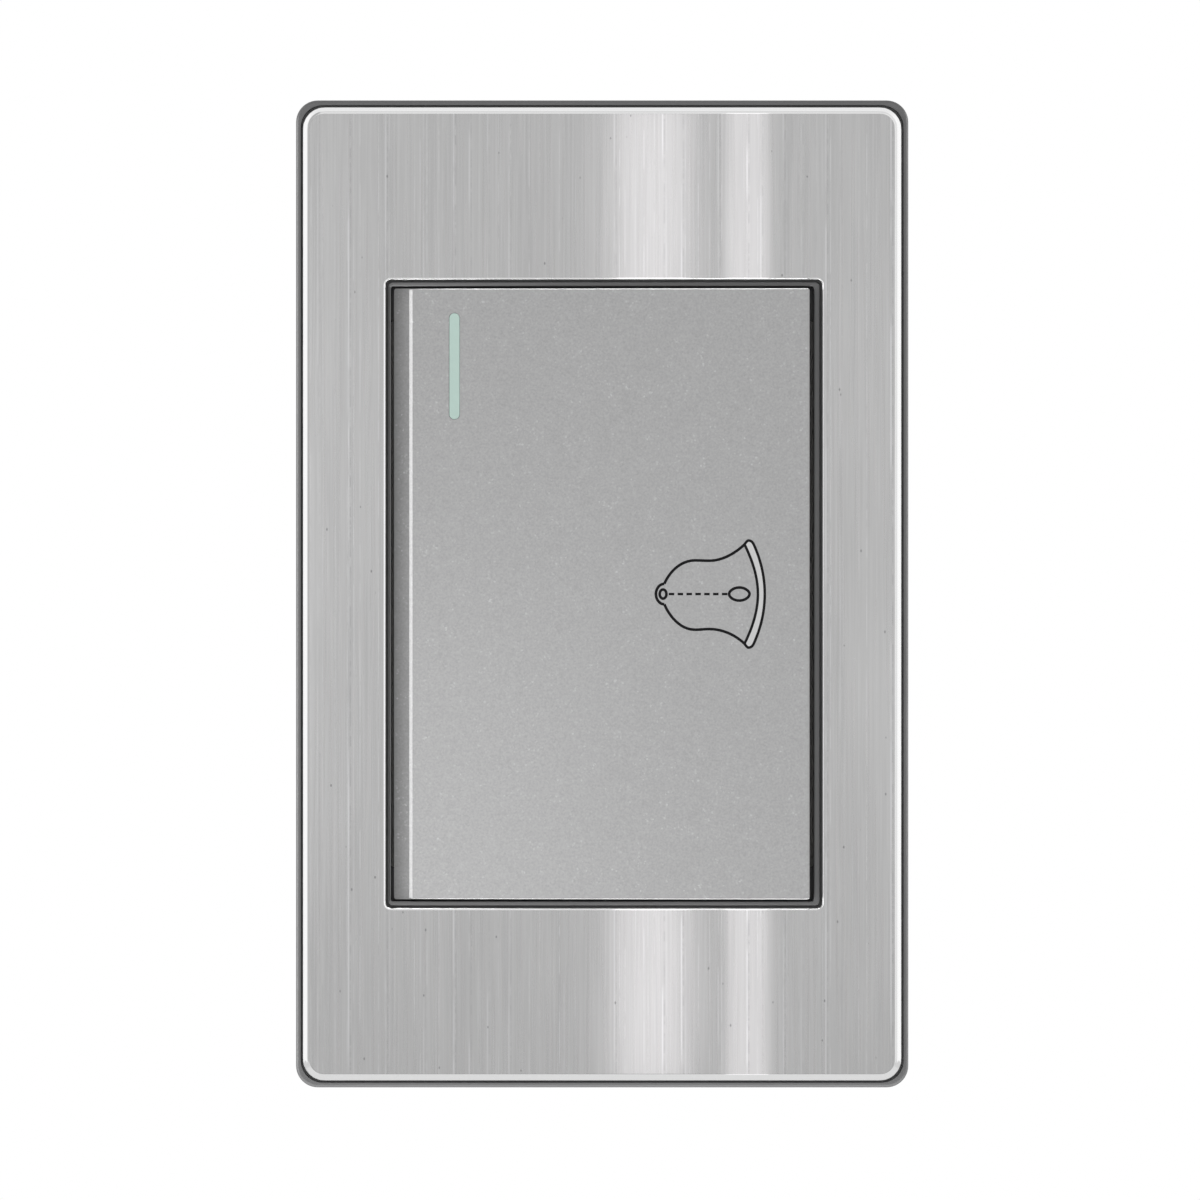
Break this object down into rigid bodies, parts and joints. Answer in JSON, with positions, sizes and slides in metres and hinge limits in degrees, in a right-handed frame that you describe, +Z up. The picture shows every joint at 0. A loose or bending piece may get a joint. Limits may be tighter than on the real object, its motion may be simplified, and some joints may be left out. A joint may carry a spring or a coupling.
{
  "type": "doorbell push button",
  "caption": "Flush wall-mounted doorbell push: brushed steel plate in a dark frame round a large rocking button with a pale indicator bar, on a yoke with a boxed contact insert.",
  "frame": {"origin": "midway between the two box-screw slots, on the wall's surface (the yoke's back)", "axes": "+Z up the plate's long side, +Y into the wall, +X to the right as seen from the room"},
  "size_m": [0.0732, 0.0293, 0.118],
  "materials": {
    "brushed_steel_face": "vertical brushed grain, bright cut bevel",
    "dark_frame": "dark grey moulded plastic, fine satin texture",
    "button_paint": "grey metallic paint with a fine sparkle, satin",
    "lens_mint": "pale mint light guide, smooth",
    "insert_plastic": "light grey moulded plastic",
    "carrier_plastic": "natural white moulded plastic, slippery",
    "zinc_steel": "bright zinc plating",
    "spring_steel": "drawn wire, bright",
    "brass": "plain stamped and turned brass",
    "silver": "silver contact rivets",
    "stop_rubber": "soft black rubber",
    "circuit_board": "green solder mask",
    "lamp_body": "small clear lamp on a white base",
    "resistor_body": "black chip with bright ends"
  },
  "bodies": {
    "fixed_parts": {"face_plate": "brushed_steel_face", "cover_frame": "dark_frame", "mounting_yoke": "zinc_steel", "front_chassis": "insert_plastic", "rear_housing": "insert_plastic", "case_screws": "zinc_steel", "stop_pads": "stop_rubber", "pivot_axle": "zinc_steel", "indicator_board": "circuit_board", "indicator_lamps": "lamp_body", "indicator_resistor": "resistor_body", "upper_feed_strip": "brass", "lower_feed_strip": "brass", "return_spring": "spring_steel", "fixed_contact_tips": "silver", "upper_fixed_contact": "brass", "lower_fixed_contact": "brass", "upper_terminal": "brass", "lower_terminal": "brass", "terminal_screws": "zinc_steel"},
    "rocker": {"button_plate": "button_paint", "rocker_carrier": "carrier_plastic", "indicator_lens": "lens_mint"},
    "slider": {"plunger": "carrier_plastic", "contact_spring": "spring_steel", "contact_bridge": "brass", "retaining_clip": "spring_steel", "moving_contact_tips": "silver"}
  },
  "joints": [
    {"name": "rocker_press", "type": "hinge", "parent": "fixed_parts", "child": "rocker", "pos_m": [0, -0.004, 0], "axis": [0, 0, 1], "range_deg": [0, 4.4], "stiffness_Nm_per_rad": 0.072, "springref_deg": -14.32},
    {"name": "plunger_travel", "type": "slide", "parent": "fixed_parts", "child": "slider", "axis": [0, 1, 0], "range_m": [0, 0.00093], "deforming": ["return_spring"]}
  ],
  "couplings": [
    {"joint": "plunger_travel", "follows": "rocker_press", "m_per_rad": 0.011997}
  ]
}
